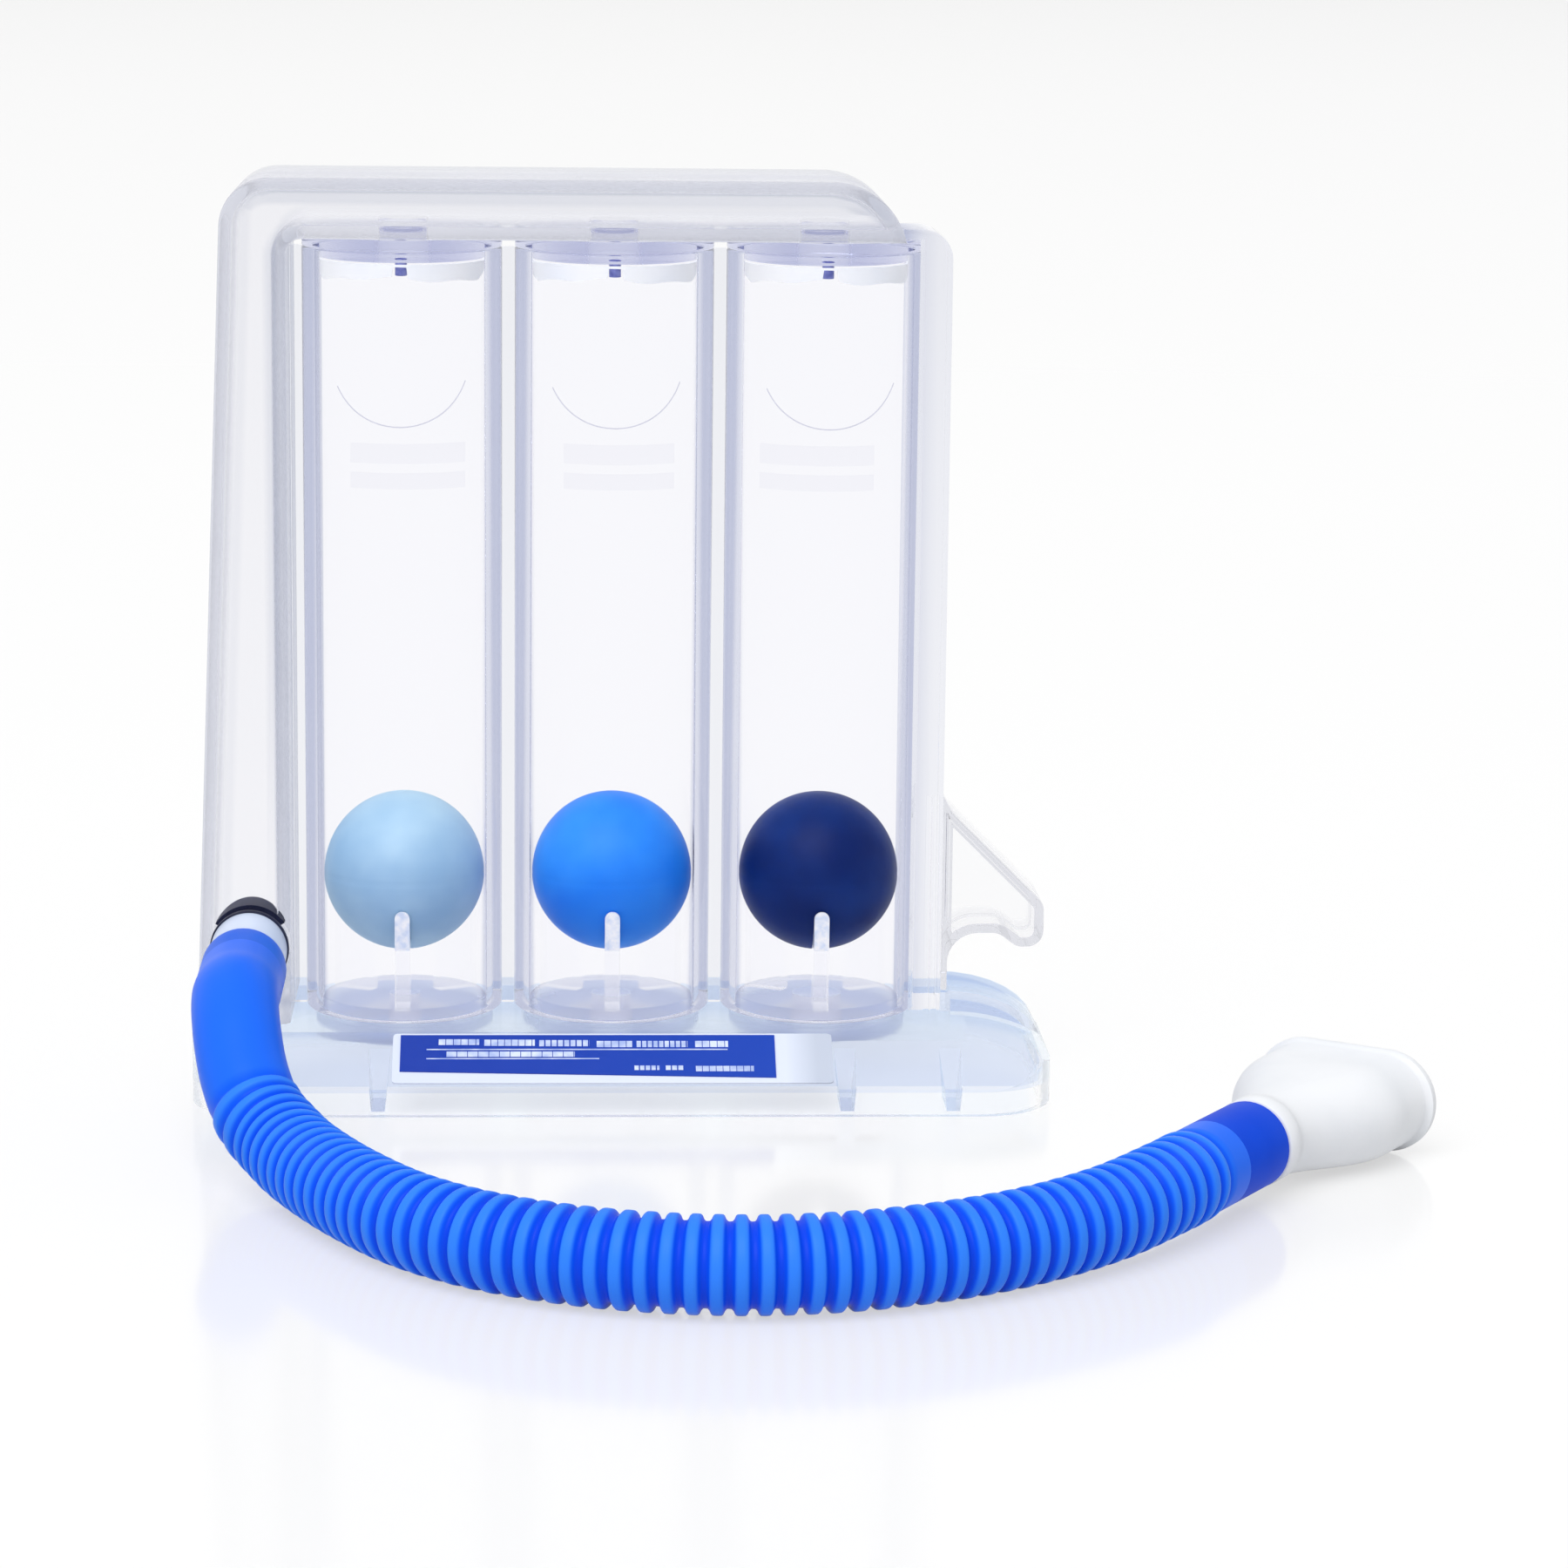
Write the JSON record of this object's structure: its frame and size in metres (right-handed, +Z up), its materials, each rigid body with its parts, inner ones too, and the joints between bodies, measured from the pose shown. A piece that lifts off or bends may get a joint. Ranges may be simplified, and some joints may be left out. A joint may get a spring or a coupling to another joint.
{
  "type": "breathing trainer",
  "caption": "Incentive spirometer: clear upright tubes with a floating ball in each, joined by a duct to a ribbed hose and mouthpiece, on a flat base.",
  "frame": {"origin": "middle of the base's footprint, on the table", "axes": "+Z up along the tubes, +X along the row of tubes towards the hose hook, the sloped label panel and the hose inlet face -Y"},
  "size_m": [0.1948, 0.161, 0.147],
  "materials": {
    "clear_shell": "clear, polished",
    "clear_tube": "clear, polished",
    "dark_seal": "satin",
    "pale_collar": "clear, polished",
    "white_card": "matte",
    "blue_print": "satin",
    "pale_blue_ball": "satin",
    "bright_blue_ball": "satin",
    "navy_ball": "satin",
    "blue_hose": "satin",
    "white_mouthpiece": "satin"
  },
  "bodies": {
    "trainer": {"base_frame": "clear_shell", "base_hood": "clear_shell", "left_floor": "clear_shell", "middle_floor": "clear_shell", "right_floor": "clear_shell", "left_tube": "clear_tube", "middle_tube": "clear_tube", "right_tube": "clear_tube", "left_cap": "clear_shell", "middle_cap": "clear_shell", "right_cap": "clear_shell", "duct_front": "clear_shell", "duct_back": "clear_shell", "side_channel": "clear_shell", "hose_hook": "clear_shell", "inlet_spigot": "clear_shell", "inlet_gasket": "dark_seal", "inlet_collar": "pale_collar", "label_card": "white_card", "label_strip": "blue_print"},
    "left_ball": {"left_ball": "pale_blue_ball"},
    "middle_ball": {"middle_ball": "bright_blue_ball"},
    "right_ball": {"right_ball": "navy_ball"},
    "hose_line": {"hose": "blue_hose", "inlet_cuff": "blue_hose", "mouth_cuff": "blue_hose"},
    "mouthpiece": {"mouthpiece": "white_mouthpiece"}
  },
  "joints": [
    {"name": "left_ball_rise", "type": "slide", "parent": "trainer", "child": "left_ball", "axis": [0, 0, 1], "range_m": [0, 0.0855]},
    {"name": "middle_ball_rise", "type": "slide", "parent": "trainer", "child": "middle_ball", "axis": [0, 0, 1], "range_m": [0, 0.0855]},
    {"name": "right_ball_rise", "type": "slide", "parent": "trainer", "child": "right_ball", "axis": [0, 0, 1], "range_m": [0, 0.0855]},
    {"name": "hose_pull_off", "type": "slide", "parent": "trainer", "child": "hose_line", "axis": [0, -1, 0], "range_m": [0, 0.012]},
    {"name": "mouthpiece_pull_off", "type": "slide", "parent": "hose_line", "child": "mouthpiece", "axis": [0.548, 0.8365, 0], "range_m": [0, 0.012]}
  ]
}
